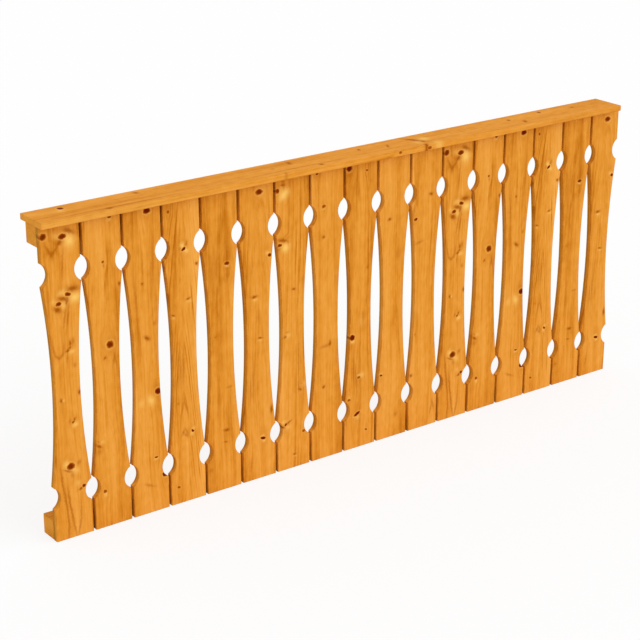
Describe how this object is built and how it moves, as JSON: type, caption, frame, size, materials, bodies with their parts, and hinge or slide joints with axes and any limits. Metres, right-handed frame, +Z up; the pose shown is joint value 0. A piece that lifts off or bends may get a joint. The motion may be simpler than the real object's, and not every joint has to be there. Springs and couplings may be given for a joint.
{
  "type": "wooden balustrade panel",
  "caption": "Balustrade panel of upright sawn boards with pointed oval holes and long waisted gaps, on two square rails under a flat handrail.",
  "frame": {"origin": "middle of the bottom rail's left end face", "axes": "+X along the panel, from the left end to the right as seen from the balusters' side; +Y from the balusters to the rails, so the show side faces -Y; +Z up"},
  "size_m": [1.91, 0.105, 0.84],
  "materials": {
    "baluster_wood": "clear honey oak glaze, satin",
    "rail_wood": "clear honey oak glaze, satin",
    "handrail_wood": "clear honey oak glaze, satin"
  },
  "bodies": {
    "root": {"baluster_01": "baluster_wood", "baluster_02": "baluster_wood", "baluster_03": "baluster_wood", "baluster_04": "baluster_wood", "baluster_05": "baluster_wood", "baluster_06": "baluster_wood", "baluster_07": "baluster_wood", "baluster_08": "baluster_wood", "baluster_09": "baluster_wood", "baluster_10": "baluster_wood", "baluster_11": "baluster_wood", "baluster_12": "baluster_wood", "baluster_13": "baluster_wood", "baluster_14": "baluster_wood", "baluster_15": "baluster_wood", "baluster_16": "baluster_wood", "baluster_17": "baluster_wood", "top_rail": "rail_wood", "bottom_rail": "rail_wood", "handrail": "handrail_wood"}
  },
  "joints": []
}
